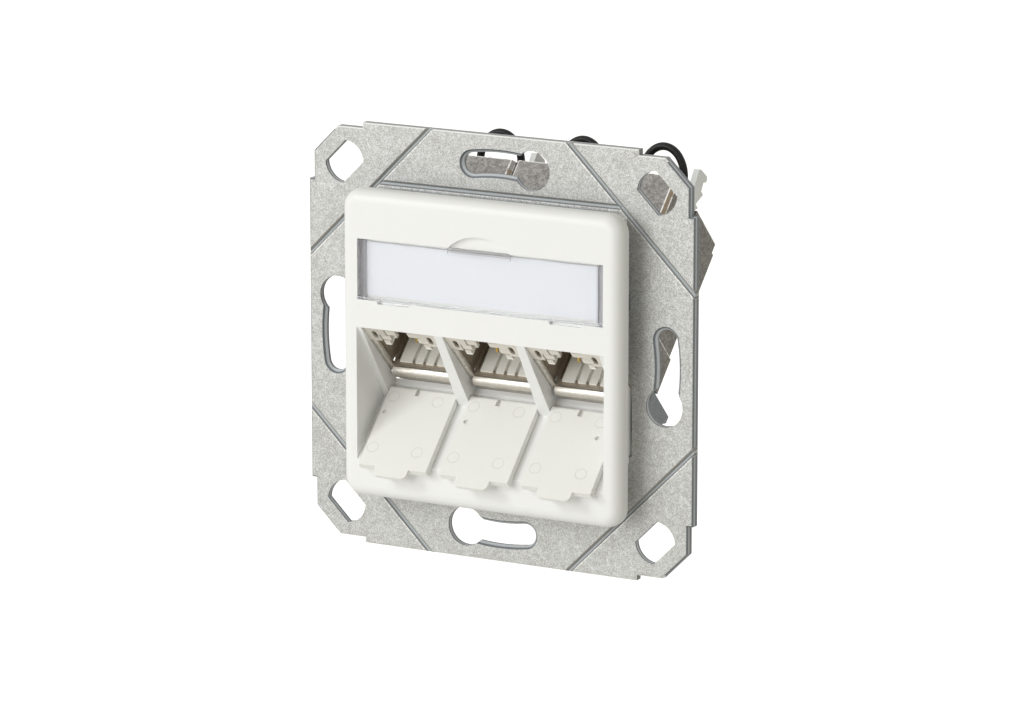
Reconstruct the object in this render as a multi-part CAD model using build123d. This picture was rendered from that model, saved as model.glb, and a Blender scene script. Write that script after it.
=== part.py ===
from build123d import *
import math
import os

# Three-port flush-mounted data outlet: metal support ring, white centre plate, three jacks facing down at 45 degrees
# Millimetres. X to the right, Y into the wall, Z up. The origin is the middle of the ring's rear face, on the wall.

# Support ring
ring_side = 69.0
ring_web = 1.2
ring_rim_height = 0.4
ring_rim_width = 1.4
ring_bevel = 0.25
edge_land_half = 24.65
edge_notch = 0.91
corner_chamfer_start = 29.25
opening_half = 22.4
opening_radius = 1.5
arm_window_half = 23.75
arm_window_bottom = -14.5
arm_window_top = -2.9
screw_spacing = 60.0
screw_slot_width = 3.5
screw_slot_bevel = 0.55
screw_slot_end = -9.0
screw_round_angle = 11.4
screw_round_diameter = 6.4
corner_hole_at = 27.95
corner_hole_diameter = 7.0
corner_hole_flats = 4.65
groove_line = 47.0
groove_width = 0.95
groove_depth = 0.45
cross_groove_height = 25.14

# Centre plate
plate_side = 50.0
plate_stand_off = 6.5
plate_skin = 1.6
plate_rim_depth = 2.8
plate_wall = 1.5
plate_corner_radius = 3.1
plate_edge_radius = 1.9
plate_foot_width = 2.4
plate_foot_height = 1.2
plate_foot_x = 21.6
plate_foot_z = 23.0
seat_gap = 0.05

# Label window and its paper strip
label_pocket_width = 43.9
label_pocket_height = 9.9
label_pocket_middle = 12.25
label_fit = 0.1
label_glass = 1.0
label_paper = 0.25
label_end_wall = 1.0
label_side_wall = 0.35
label_floor = 0.8
label_pin_radius = 0.32
label_pin_width = 5.6
label_pin_at = 15.4
label_scoop_radius = 0.72
label_strip_lift = 0.2
nail_half_width = 5.6
nail_height = 2.2
nail_depth = 0.7
nail_ledge = 1.0

# Recess under the label, with the three jack openings
recess_half = 22.15
recess_top = 2.8
recess_wall = 1.25
port_count = 3
port_row_margin = 0.1
port_pitch = 2 * (recess_half - port_row_margin) / port_count
cheek_foot_y = 1.4
cheek_foot_z = -9.2
port_half_top = 6.6
port_half_bottom = 6.25
port_sill_y = 3.6

# Line of the jack faces: 45 degrees, and where it meets the plate's front
jack_slope = 45.0
jack_face_top = 3.16
jack_face_drop = 6.83

# Dust flaps
flap_width = 12.3
flap_length = 14.57
flap_over = 0.7
flap_under = 0.5
flap_axis_w = 8.15
flap_axis_d = -2.54
flap_pin_radius = 0.45
flap_pin_length = 0.5
flap_pin_clearance = 0.1
flap_barrel_clearance = 0.4
flap_floor_gap = 0.05
flap_tab_width = 6.0
flap_tab_length = 1.7
flap_tab_radius = 0.9
flap_tab_thickness = 0.6
flap_notch_width = 0.8
flap_notch_length = 0.9
flap_notch_at = -0.85
flap_dimple_radius = 0.42
flap_dimple_depth = 0.5
flap_dimple_s = 4.4
flap_dimple_x = [-5.3, -5.2, 3.65]

# Jack module, measured from its face: w down along the face, d along the jack's axis
module_width = 13.2
module_gap = 0.1
mouth_top_w = -6.45
mouth_bottom_w = 8.4
mouth_depth = 6.0
mouth_notch_depth = 0.9
mouth_lip_w = 4.85
body_top_w = -5.4
body_bottom_w = 13.7
body_end_d = 24.0
shoulder_end_d = 12.6
body_chamfer = 0.64
housing_wall = 0.8
cap_end_d = 34.9
cap_lip = 0.5
cap_lip_end = 1.7
cap_wall = 1.0
cavity_half = 5.9
cavity_top_w = -5.8
cavity_bottom_w = 5.6
cavity_end_d = 14.0
cavity_floor_d = 1.5
cavity_step = 0.65
cavity_step_w = 4.6
corner_half = 3.0
corner_w = -2.75
corner_step_x = 4.3
corner_step_w = -4.5
corner_thickness = 0.8
corner_hole_x = 5.0
corner_hole_w = -4.4
corner_hole_slot = 2.0
corner_hole_width = 0.85
arm_front_d = 0.7
face_bar_radius = 1.2
face_bar_w = 6.15
face_bar_d = 0.25
face_bar_half = 5.6
port_hole_radius = 3.2
port_hole_w = 0.7

# Plastic insert and contacts
insert_fit = 0.1
insert_floor = 1.0
insert_back = 1.2
insert_hole_depth = 2.0
peg_front_d = 0.15
peg_reach = [1.9, 0.5, -0.1]
peg_step = 1.5
peg_gap = 0.35
peg_depth = 1.2
comb_half = 4.5
comb_front_d = 0.95
comb_lip = 0.3
comb_count = 3
comb_pitch = 1.97
comb_groove = 0.6
comb_groove_depth = 0.7
contact_count = 8
contact_pitch = 1.02
contact_size = 0.35
contact_tip_w = 4.05
contact_tip_d = 4.5
contact_rise_d = 7.7
contact_lift_w = -1.2
contact_outer_back = 2.5

# Circuit board, terminals and wire guide behind the contacts
board_thickness = 1.0
board_gap = 0.3
block_depth = 5.0
block_slot = 0.5
terminal_rows = 2
terminal_row_count = 4
terminal_pitch = 2.6
terminal_row_w = 6.0
terminal_width = 0.9
terminal_thickness = 0.3
terminal_depth = 3.4
terminal_fork = 0.3
terminal_fork_depth = 1.8
guide_bore_radius = 2.6

# Strap loop and toothed latch strip at the rear of each module
strap_half_width = 3.78
strap_half_height = [4.85, 4.87, 4.98]
strap_lean = [43.0, 37.4, 39.0]
strap_radius = 0.65
strap_thickness = 1.0
strap_foot_w = 5.75
strap_gap = 0.2
strap_eye_width = 1.6
strap_eye_wall = 0.8
latch_thickness = 1.0
latch_width = 2.6
latch_length = 6.2
latch_foot_w = 0.5
latch_tooth = 2.6
latch_ramp = 2.2
latch_tooth_height = 0.95
latch_tooth_count = 2
latch_first_tooth = 1.5
latch_head_width = 3.4
latch_head_height = 1.2
latch_head_lean = 10.0
latch_bend = 0.5

# Grounding spring over each module
spring_sheet = 0.3
spring_width = 6.0
spring_length = 9.0
spring_start_d = 9.5
spring_rise = 0.5

# Bent steel carrier that holds the modules
carrier_sheet = 0.9
carrier_d = 4.6
carrier_half = 22.1
carrier_bottom_w = 20.5
carrier_corner = 1.2
carrier_window_gap = 0.25
carrier_top_z = 24.3
carrier_top_w = -8.1
carrier_flange_half = 20.0
carrier_ear_half = 23.4
carrier_ear_bottom = 8.9
carrier_ear_top = 11.6
carrier_foot_half = 24.6
carrier_foot_bottom = -19.2
cheek_gap = 0.6
rivet_radius = 0.6
rivet_head_radius = 0.9
rivet_head_height = 0.45
rivet_x = 15.0
rivet_z = 23.4

# Snap hooks of the centre plate behind the ring
hook_reach = 0.6
hook_length = 1.2
hook_half_height = 3.4

# Derived places
ring_thickness = ring_web + ring_rim_height
ring_front = -ring_thickness
ring_half = ring_side / 2
screw_radius = screw_spacing / 2
plate_front = ring_front - plate_stand_off
plate_rim_back = plate_front + plate_rim_depth
plate_skin_back = plate_front + plate_skin
port_offsets = [(i - (port_count - 1) / 2) * port_pitch for i in range(port_count)]
port_names = ["left", "middle", "right"]
slope_sin = math.sin(math.radians(jack_slope))
slope_cos = math.cos(math.radians(jack_slope))
face_y = plate_front + jack_face_drop * slope_sin
face_z = jack_face_top - jack_face_drop * slope_cos
module_half = module_width / 2
body_half = (port_pitch - module_gap) / 2
inner_top_w = body_top_w + housing_wall
board_d = cavity_end_d + board_gap
block_d = board_d + board_thickness + board_gap
guide_d = body_end_d + board_gap
guide_end_d = cap_end_d - cap_wall - board_gap
latch_foot_d = cap_end_d - cap_wall - seat_gap


def section(w, d):
    """Point (y, z) of the side view at w down the jack face and d along the jack's axis."""
    return (face_y + w * slope_sin + d * slope_cos, face_z - w * slope_cos + d * slope_sin)


def jack_frame(offset):
    """Local frame of a jack: x across, y down the face, z along the axis into the wall."""
    return Plane(origin=(offset, face_y, face_z), x_dir=(1, 0, 0), z_dir=(0, slope_cos, slope_sin))


def side_prism(points, x_from, x_to):
    """Solid with a side-view outline of (y, z) points, from one x to another."""
    face = make_face(Polyline(*points, close=True))
    return extrude(Plane.YZ.offset(x_from) * face, x_to - x_from)


def front_prism(sketch, y_from, y_to):
    """Solid with a front-view outline, x to the right and z up, from one depth to another."""
    view = Plane(origin=(0, y_from, 0), x_dir=(1, 0, 0), z_dir=(0, -1, 0))
    return extrude(view * sketch, -(y_to - y_from))


def jack_block(x_from, x_to, w_from, w_to, d_from, d_to):
    """Rectangular solid in a jack's local frame."""
    size = (x_to - x_from, w_to - w_from, d_to - d_from)
    middle = ((x_from + x_to) / 2, (w_from + w_to) / 2, (d_from + d_to) / 2)
    return Pos(*middle) * Box(*size)


def rod(radius, length):
    """Twelve-sided rod along z about the origin, for small hidden pins and their holes."""
    return extrude(RegularPolygon(radius, 12), length / 2, both=True)


def turned(sketch, quarter):
    """Sketch turned clockwise by a number of quarter turns."""
    return Rot(0, 0, -90 * quarter) * sketch


def ring_outline(inset=0.0):
    """Square with a set-back and a chamfer at each corner."""
    half = ring_half - inset
    low = half - edge_notch
    land = edge_land_half - inset
    start = corner_chamfer_start - inset * 0.414
    quarter = [(-land, half), (land, half), (land, low), (start, low), (low, start), (low, land)]
    points = []
    for turn in range(4):
        for x, z in quarter:
            for _ in range(turn):
                x, z = z, -x
            points.append((x, z))
    clean = []
    for point in points:
        if not clean or math.dist(point, clean[-1]) > 0.01:
            clean.append(point)
    return make_face(Polyline(*clean, close=True))


def keyhole(width, diameter):
    """Screw slot on the screw circle, with its round end clockwise."""
    start = 90 - screw_slot_end
    end = 90 - screw_round_angle
    path = CenterArc((0, 0), screw_radius, end, start - end)
    x = screw_radius * math.cos(math.radians(end))
    z = screw_radius * math.sin(math.radians(end))
    slot = SlotArc(path, width)
    if diameter > 0:
        slot += Pos(x, z) * Circle(diameter / 2)
    return slot


def slot_bevel(turn):
    """Cutter that bevels the front edge of one screw slot at 45 degrees."""
    sink = turned(keyhole(screw_slot_width + 2 * screw_slot_bevel, 0), turn)
    cutter = front_prism(sink, ring_front, ring_front + screw_slot_bevel + seat_gap)
    return chamfer(cutter.faces().sort_by(Axis.Y)[-1].edges(), screw_slot_bevel)


def corner_hole():
    """Round hole with two flats that lie along the corner's chamfer."""
    flats = Rectangle(corner_hole_diameter * 2, corner_hole_flats)
    hole = Circle(corner_hole_diameter / 2) & flats
    return Pos(corner_hole_at, corner_hole_at) * Rot(0, 0, -45) * hole


def groove(start, end):
    """V-shaped cutter along a line of the front face."""
    length = math.dist(start, end)
    angle = math.degrees(math.atan2(end[1] - start[1], end[0] - start[0]))
    profile = make_face(Polyline((-groove_width / 2, 0), (groove_width / 2, 0), (0, -groove_depth), close=True))
    bar = extrude(Plane.YZ * profile, length)
    view = Plane(origin=(0, ring_front, 0), x_dir=(1, 0, 0), z_dir=(0, -1, 0))
    return view * Pos(start[0], start[1], 0) * Rot(0, 0, angle) * bar


def support_ring():
    web_back = ring_front + ring_web
    ring = front_prism(ring_outline(), ring_front, 0)
    ring = chamfer(ring.faces().sort_by(Axis.Y)[0].edges(), ring_bevel)
    hollow = ring_outline(ring_rim_width)
    ring -= front_prism(hollow, web_back, 0)
    opening = RectangleRounded(2 * opening_half, 2 * opening_half, opening_radius)
    window_height = arm_window_top - arm_window_bottom
    window = Rectangle(2 * arm_window_half, window_height)
    opening += Pos(0, (arm_window_top + arm_window_bottom) / 2) * window
    ring -= front_prism(opening, ring_front, 0)
    for turn in range(4):
        ring -= front_prism(turned(keyhole(screw_slot_width, screw_round_diameter), turn), ring_front, 0)
        ring -= slot_bevel(turn)
        ring -= front_prism(turned(corner_hole(), turn), ring_front, 0)
    reach = groove_line - ring_half
    for sx in (-1, 1):
        for sz in (-1, 1):
            ring -= groove((sx * reach, sz * ring_half), (sx * ring_half, sz * reach))
    cross_end = groove_line - cross_groove_height
    for sz in (-1, 1):
        ring -= groove((-cross_end, sz * cross_groove_height), (cross_end, sz * cross_groove_height))
    return ring


def port_opening(offset, d_from, d_to):
    """Cutter for one jack opening, a little narrower at the bottom."""
    top = mouth_top_w - module_gap
    bottom = mouth_bottom_w
    outline = Polyline((-port_half_top, top), (port_half_top, top),
                       (port_half_bottom, bottom), (-port_half_bottom, bottom), close=True)
    cutter = extrude(Pos(0, 0, d_from) * make_face(outline), d_to - d_from)
    return jack_frame(offset) * cutter


def plate_shell():
    """Front shell with rounded corners and edges, hollow behind."""
    outline = RectangleRounded(plate_side, plate_side, plate_corner_radius)
    shell = front_prism(outline, plate_front, plate_rim_back)
    front_edges = shell.faces().sort_by(Axis.Y)[0].edges()
    shell = fillet(front_edges, plate_edge_radius)
    inner = plate_side - 2 * plate_wall
    hollow = RectangleRounded(inner, inner, plate_corner_radius - plate_wall)
    return shell - front_prism(hollow, plate_skin_back, plate_rim_back)


def recess_section():
    """Side view of the open wedge: front plane, cheek line and flap floor."""
    floor_w = flap_axis_w + flap_under + flap_floor_gap
    floor_slope = math.tan(math.radians(jack_slope))
    base = section(floor_w, 0)
    foot_y = ring_front + cheek_foot_y
    run = (foot_y - plate_front, recess_top - cheek_foot_z)
    # Cheek line: z = recess_top - k (y - plate_front). Floor line: z = base_z + slope (y - base_y).
    k = run[1] / run[0]
    tip_y = (recess_top + k * plate_front - base[1] + floor_slope * base[0]) / (floor_slope + k)
    tip = (tip_y, recess_top - k * (tip_y - plate_front))
    front_floor = (plate_front, base[1] + floor_slope * (plate_front - base[0]))
    return (plate_front, recess_top), tip, front_floor


def recess_body():
    """Moulded box around the recess, the jack openings and the flap floor."""
    top, tip, floor = recess_section()
    wall = recess_wall
    back_w = recess_back_w()
    points = [
        (plate_front + 0.2, top[1] + 1.6 * wall),
        (plate_skin_back, top[1] + 1.6 * wall),
        section(mouth_top_w + 0.2, -seat_gap),
        section(back_w, -seat_gap),
        section(back_w, flap_axis_d),
        (plate_skin_back, floor[1] - 1.6 * wall + plate_skin),
        (plate_front + 0.2, floor[1] - 1.6 * wall),
    ]
    return side_prism(points, -recess_half - wall, recess_half + wall)


def recess_back_w():
    """How far down the jack face the recess body reaches, behind the hinge pins."""
    return flap_axis_w + flap_pin_radius + 3 * flap_pin_clearance + 2 * recess_wall


def snap_arm(side):
    """Tapered arm at one side, through the ring, with a hook behind it."""
    x_in = side * recess_half
    x_out = side * (recess_half + recess_wall)
    low = arm_window_bottom
    high = arm_window_top
    reach = ring_front + ring_web + seat_gap + hook_length
    arm = side_prism([
        (plate_skin_back - 0.2, high + 1.6),
        (ring_front - 0.5, high - 0.3),
        (reach, high - 1.6),
        (reach, low + 3.4),
        (ring_front - 0.5, low + 2.0),
        (plate_skin_back - 0.2, low + 0.6),
    ], min(x_in, x_out), max(x_in, x_out))
    middle = (high + low) / 2
    catch = ring_front + ring_web + seat_gap
    tip = x_out + side * hook_reach
    hook = make_face(Polyline((x_out, catch), (tip, catch), (x_out, reach), close=True))
    arm += Pos(0, 0, middle - hook_half_height) * extrude(hook, 2 * hook_half_height)
    return arm


def label_pocket():
    """Pocket of the label window, its pin slots and the fingernail scoop."""
    depth = label_glass + label_paper + 2 * seat_gap
    mouth = Pos(0, label_pocket_middle) * Rectangle(label_pocket_width, label_pocket_height)
    pocket = front_prism(mouth, plate_front, plate_front + depth)
    bottom = label_pocket_middle - label_pocket_height / 2
    top = label_pocket_middle + label_pocket_height / 2
    pin_y, pin_z = label_pin_axis()
    slot_radius = label_pin_radius + label_fit
    for side in (-1, 1):
        length = label_pin_width + 2 * label_fit
        slot = Pos(side * label_pin_at, pin_y, pin_z) * Rot(0, 90, 0) * Cylinder(slot_radius, length)
        throat_low = pin_z - label_pin_radius / 2
        throat = front_prism(Pos(side * label_pin_at, (throat_low + bottom) / 2) * Rectangle(
            length, bottom - throat_low), plate_front, pin_y + slot_radius)
        pocket += slot + throat
    radius = (nail_half_width ** 2 + nail_height ** 2) / (2 * nail_height)
    scoop = Pos(0, top + nail_height - radius) * Circle(radius)
    keep = Pos(0, top + nail_height) * Rectangle(4 * nail_half_width, 2 * nail_height)
    pocket += front_prism(scoop & keep, plate_front, plate_front + nail_depth)
    return pocket


def label_pin_axis():
    """Depth and height of the pins that the label window turns on."""
    bottom = label_pocket_middle - label_pocket_height / 2
    return plate_front + label_glass / 2 + 0.1, bottom - label_pin_radius + 0.02


def flap_axis():
    """Point (y, z) of the flap hinge."""
    return section(flap_axis_w, flap_axis_d)


def cover_plate():
    plate = plate_shell()
    depth = label_glass + label_paper + 2 * seat_gap + label_floor
    backing = Rectangle(label_pocket_width + 2 * label_floor, label_pocket_height + 3 * label_floor)
    plate += front_prism(Pos(0, label_pocket_middle) * backing, plate_front + 0.3, plate_front + depth)
    plate += recess_body()
    for side in (-1, 1):
        plate += snap_arm(side)
        for height in (-1, 1):
            foot = Pos(side * plate_foot_x, height * plate_foot_z) * Rectangle(plate_foot_width, plate_foot_height)
            plate += front_prism(foot, plate_skin_back - 0.2, ring_front - seat_gap)
    top, tip, floor = recess_section()
    ahead = plate_front - 5
    wedge = [(ahead, top[1]), top, tip, floor, (ahead, floor[1])]
    plate -= side_prism(wedge, -recess_half, recess_half)
    axis_y, axis_z = flap_axis()
    trench_radius = flap_over + flap_barrel_clearance
    sill = ring_front + port_sill_y
    for side in (-1, 1):
        inner = side * (opening_half - 0.1)
        outer = side * (arm_window_half + 1)
        window_low = arm_window_bottom + 0.2
        plate -= side_prism([(ring_front - 0.15, window_low), (4, window_low), (4, -22), (ring_front - 0.15, -22)],
                            min(inner, outer), max(inner, outer))
    for offset in port_offsets:
        plate -= port_opening(offset, -12, 2)
        plate -= jack_frame(offset) * jack_block(-module_half - 0.15, module_half + 0.15,
                                                 mouth_top_w - 0.15, 0, -seat_gap, mouth_depth)
        trench = Pos(offset, axis_y, axis_z) * Rot(0, 90, 0) * Cylinder(trench_radius, 2 * port_half_bottom)
        gap = side_prism([(axis_y, axis_z - trench_radius), (sill, axis_z - trench_radius),
                          (sill, axis_z + 2.2), (axis_y, axis_z + 2.2)],
                         offset - port_half_bottom, offset + port_half_bottom)
        pins = Pos(offset, axis_y, axis_z) * Rot(0, 90, 0) * Cylinder(
            flap_pin_radius + flap_pin_clearance, flap_width + 2 * flap_pin_length + 0.2)
        plate -= trench + gap + pins
    plate -= label_pocket()
    return plate


def label_window():
    """Clear lid with end walls, a nail ledge at the top and two hinge pins below."""
    width = label_pocket_width - 2 * label_fit
    height = label_pocket_height - 2 * label_fit
    depth = label_glass + label_paper + seat_gap
    lid = front_prism(Pos(0, label_pocket_middle) * Rectangle(width, height), plate_front, plate_front + depth)
    inner = Rectangle(width - 2 * label_end_wall, height - 2 * label_side_wall)
    lid -= front_prism(Pos(0, label_pocket_middle) * inner, plate_front + label_glass, plate_front + depth)
    top = label_pocket_middle + height / 2
    ledge = Pos(0, top) * Rectangle(2 * nail_half_width, 2 * nail_ledge)
    lid -= front_prism(ledge, plate_front, plate_front + nail_depth / 2)
    pin_y, pin_z = label_pin_axis()
    # The lid's lower edge is scooped round the pins' axis, so that it turns clear of the plate
    lid -= Pos(0, pin_y, pin_z) * Rot(0, 90, 0) * Cylinder(label_scoop_radius, 2 * label_pocket_width)
    neck_height = label_scoop_radius + label_fit
    for side in (-1, 1):
        pin = Pos(side * label_pin_at, pin_y, pin_z) * Rot(0, 90, 0) * Cylinder(label_pin_radius, label_pin_width)
        neck = Pos(side * label_pin_at, pin_y, pin_z + neck_height / 2) * Box(
            label_pin_width, 1.4 * label_pin_radius, neck_height)
        lid += pin + neck
    return lid


def label_strip():
    """Paper strip between the clear lid and the pocket's floor."""
    width = label_pocket_width - 2 * label_fit - 2 * label_end_wall - 2 * label_fit
    height = label_pocket_height - 2 * label_fit - 2 * label_side_wall - 2 * label_fit - label_strip_lift
    start = plate_front + label_glass + seat_gap
    middle = label_pocket_middle + label_strip_lift / 2
    return front_prism(Pos(0, middle) * Rectangle(width, height), start, start + label_paper)


def dust_flap(index):
    """Flap lying open: barrel and pins at the hinge, plate, and a grip tab at the free edge."""
    half = flap_width / 2
    plate = jack_block(-half, half, flap_axis_w - flap_over, flap_axis_w + flap_under,
                       flap_axis_d - flap_length, flap_axis_d)
    barrel = Pos(0, flap_axis_w, flap_axis_d) * Rot(0, 90, 0) * Cylinder(flap_over, flap_width)
    pins = Pos(0, flap_axis_w, flap_axis_d) * Rot(0, 90, 0) * Cylinder(
        flap_pin_radius, flap_width + 2 * flap_pin_length)
    flap = plate + barrel + pins
    edge = flap_axis_d - flap_length
    tab = RectangleRounded(flap_tab_width, 2 * flap_tab_length, flap_tab_radius)
    face = Plane(origin=(0, flap_axis_w - flap_over, edge), x_dir=(1, 0, 0), z_dir=(0, 1, 0))
    flap += extrude(face * tab, flap_tab_thickness)
    top = flap_axis_w - flap_over
    flap -= jack_block(flap_notch_at - flap_notch_width / 2, flap_notch_at + flap_notch_width / 2,
                       top, top + flap_over, flap_axis_d - flap_notch_length, flap_axis_d + flap_over)
    dimple = Pos(flap_dimple_x[index], top + flap_dimple_depth / 2, flap_axis_d - flap_dimple_s) * Rot(
        90, 0, 0) * rod(flap_dimple_radius, flap_dimple_depth)
    flap -= dimple
    return jack_frame(port_offsets[index]) * flap


def body_outline(bottom_w, lower_chamfer=True):
    """Outer section of a module's rear, with its long edges chamfered."""
    box = Pos(0, (body_top_w + bottom_w) / 2) * Rectangle(2 * body_half, bottom_w - body_top_w)
    corners = box.vertices() if lower_chamfer else box.vertices().group_by(Axis.Y)[0]
    return chamfer(corners, body_chamfer)


def inner_outline(inset):
    """Section of the hollow behind the cavity, or of what fits in it."""
    return offset(body_outline(body_bottom_w), -housing_wall - inset)


def cavity_outline(inset, top_w):
    """Section of the plug cavity, stepped in at both sides beside the comb."""
    bottom = cavity_bottom_w - inset
    ledges = [(cavity_half - inset, top_w + inset), (cavity_half - inset, cavity_step_w - inset),
              (cavity_half - cavity_step - inset, cavity_step_w - inset),
              (cavity_half - cavity_step - inset, cavity_step_w + cavity_step - inset),
              (comb_half + insert_fit - inset, cavity_step_w + cavity_step - inset),
              (comb_half + insert_fit - inset, bottom)]
    mirror = [(-x, w) for x, w in reversed(ledges)]
    return make_face(Polyline(*ledges, *mirror, close=True))


def corner_outline(side):
    """Stepped corner of the face, beside the notch for a plug's latch."""
    points = [(corner_half, mouth_top_w), (corner_half, corner_step_w), (corner_step_x, corner_step_w),
              (corner_step_x, corner_w), (module_half, corner_w), (module_half, mouth_top_w)]
    return make_face(Polyline(*[(side * x, w) for x, w in points], close=True))


def corner_slot(side):
    """Outline of the slot-shaped hole in a corner of the face."""
    slot = Pos(side * corner_hole_x, corner_hole_w) * Rectangle(corner_hole_width, corner_hole_slot)
    return chamfer(slot.vertices(), corner_hole_width / 3)


def jack_housing():
    """Die-cast front shell: mouth with stepped corners and side arms, bar across the face, shoulder and body."""
    shell = jack_block(-module_half, module_half, mouth_top_w, mouth_bottom_w, 0, mouth_depth)
    shell += jack_block(-body_half, body_half, body_top_w, body_bottom_w, mouth_depth, shoulder_end_d)
    shell += extrude(Pos(0, 0, shoulder_end_d) * body_outline(body_bottom_w), body_end_d - shoulder_end_d)
    shell -= jack_block(-cavity_half, cavity_half, cavity_top_w, mouth_lip_w, -1, mouth_depth)
    shell -= jack_block(-module_width, module_width, corner_w, mouth_lip_w, -1, arm_front_d)
    shell -= jack_block(-corner_half, corner_half, mouth_top_w - 1, corner_w, -1, mouth_notch_depth)
    shell -= extrude(Pos(0, 0, cavity_floor_d) * cavity_outline(0, inner_top_w), cavity_end_d - cavity_floor_d)
    shell -= extrude(Pos(0, 0, cavity_end_d) * inner_outline(0), body_end_d - cavity_end_d)
    notch_from = face_bar_half + module_gap
    for side in (-1, 1):
        shell += extrude(corner_outline(side) - corner_slot(side), corner_thickness)
        shell -= jack_block(min(side * notch_from, side * module_width), max(side * notch_from, side * module_width),
                            mouth_lip_w, mouth_bottom_w + 1, -1, 2 * face_bar_radius)
    shell += Pos(0, face_bar_w, face_bar_d) * Rot(0, 90, 0) * Cylinder(face_bar_radius, 2 * face_bar_half)
    return shell


def rear_cap():
    """Die-cast rear cap with the cable port, the strap eye and the notch of the latch strip."""
    start = body_end_d + seat_gap
    bottom = body_bottom_w + cap_lip
    cap = extrude(Pos(0, 0, start) * body_outline(bottom, False), cap_end_d - cap_lip_end - start)
    cap += extrude(Pos(0, 0, cap_end_d - cap_lip_end) * body_outline(bottom), cap_lip_end)
    cap -= extrude(Pos(0, 0, body_end_d) * inner_outline(0), cap_end_d - body_end_d - cap_wall)
    cap -= Pos(0, port_hole_w, cap_end_d) * Cylinder(port_hole_radius, 4 * cap_wall)
    cap -= jack_block(body_half - latch_thickness - insert_fit, body_half + 1, latch_foot_w - insert_fit,
                      latch_foot_w + latch_width + latch_tooth_height + insert_fit, latch_foot_d - seat_gap, cap_end_d + 1)
    eye_w, eye_d = strap_foot()
    outer = strap_radius + strap_gap + strap_eye_wall
    eye = jack_block(-strap_eye_width / 2, strap_eye_width / 2, eye_w - outer, eye_w + outer,
                     cap_end_d - cap_wall / 4, eye_d + outer)
    eye -= Pos(0, eye_w, eye_d) * Rot(0, 90, 0) * rod(strap_radius + strap_gap, 2 * strap_eye_width)
    return cap + eye


def strap_foot():
    """Lowest point of the strap's centre line, in the eye on the cap."""
    return strap_foot_w, cap_end_d + strap_radius + strap_gap


def strap_loop(index):
    """Black strap, closed through its eye on the cap; each leans a little differently."""
    foot_w, foot_d = strap_foot()
    lean = math.radians(strap_lean[index])
    half_height = strap_half_height[index]
    middle = (0, foot_w - half_height * math.sin(lean), foot_d + half_height * math.cos(lean))
    plane = Plane(origin=middle, x_dir=(1, 0, 0), z_dir=(0, -math.cos(lean), -math.sin(lean)))
    height = 2 * (half_height + strap_radius)
    width = 2 * (strap_half_width + strap_radius)
    outer = SlotOverall(height, width, rotation=90)
    inner = SlotOverall(height - 4 * strap_radius, width - 4 * strap_radius, rotation=90)
    return extrude(plane * (outer - inner), strap_thickness / 2, both=True)


def latch_strip():
    """Toothed strip whose foot sits in a notch of the cap, with a rounded head."""
    points = [(0, 0), (latch_width, 0)]
    for i in range(latch_tooth_count):
        tip = latch_first_tooth + i * latch_tooth
        points.append((latch_width, max(tip - latch_ramp, latch_ramp / 10)))
        points.append((latch_width + latch_tooth_height, tip))
        points.append((latch_width, tip))
    points.append((latch_width - latch_bend, latch_length))
    points.append((-latch_bend, latch_length))
    points.append((0, latch_length / 2))
    profile = make_face(Polyline(*points, close=True))
    head = Rot(0, 0, latch_head_lean) * SlotOverall(latch_head_width, latch_head_height)
    profile += Pos(latch_width / 2, latch_length) * head
    plane = Plane(origin=(body_half - latch_thickness, latch_foot_w, latch_foot_d), x_dir=(0, 1, 0), z_dir=(1, 0, 0))
    return extrude(plane * profile, latch_thickness)


def contact_insert():
    """Off-white plastic insert: pegs behind the face's corners, comb floor with grooves, and back."""
    bottom = cavity_bottom_w - insert_fit
    end = cavity_end_d - insert_fit
    top = bottom - insert_floor
    body = jack_block(-comb_half, comb_half, top, bottom, cavity_floor_d + insert_fit, end)
    body += jack_block(-comb_half, comb_half, top, top + comb_lip, comb_front_d, end)
    body += extrude(Pos(0, 0, end - insert_back) * cavity_outline(insert_fit, inner_top_w), insert_back)
    wide = cavity_half - insert_fit
    start = corner_thickness + insert_fit
    for side in (-1, 1):
        low = min(side * (corner_half + insert_fit), side * wide)
        high = max(side * (corner_half + insert_fit), side * wide)
        block = jack_block(low, high, cavity_top_w + insert_fit, corner_w - insert_fit, start, mouth_depth - insert_fit)
        block += jack_block(low, high, inner_top_w + insert_fit, corner_w - insert_fit, start, end)
        hole = extrude(Pos(side * corner_hole_x, corner_hole_w, start) * Rectangle(
            corner_hole_width, corner_hole_slot), insert_hole_depth)
        body += block - hole
        for i, reach in enumerate(peg_reach):
            tip = corner_half - reach
            root = (corner_half if i == 0 else corner_step_x) - insert_fit
            peg_top = cavity_top_w + insert_fit + i * peg_step
            body += jack_block(min(side * tip, side * root), max(side * tip, side * root),
                               peg_top, peg_top + peg_step - peg_gap, peg_front_d, start + peg_depth)
        rib = corner_step_x - insert_fit
        neck = corner_half - peg_gap
        body += jack_block(min(side * neck, side * rib), max(side * neck, side * rib),
                           cavity_top_w + insert_fit, cavity_top_w + insert_fit + len(peg_reach) * peg_step - peg_gap,
                           start + peg_depth / 2, start + peg_depth)
    for i in range(comb_count):
        x_mid = (i - (comb_count - 1) / 2) * comb_pitch
        body -= jack_block(x_mid - comb_groove / 2, x_mid + comb_groove / 2,
                           top - seat_gap, top + comb_groove_depth, 0, end - insert_back)
    for i in range(contact_count):
        x_mid = (i - (contact_count - 1) / 2) * contact_pitch
        gap = contact_size / 2 + insert_fit
        body -= jack_block(x_mid - gap, x_mid + gap, contact_lift_w - gap, contact_lift_w + gap,
                           end - 2 * insert_back, cavity_end_d)
    return body


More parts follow.
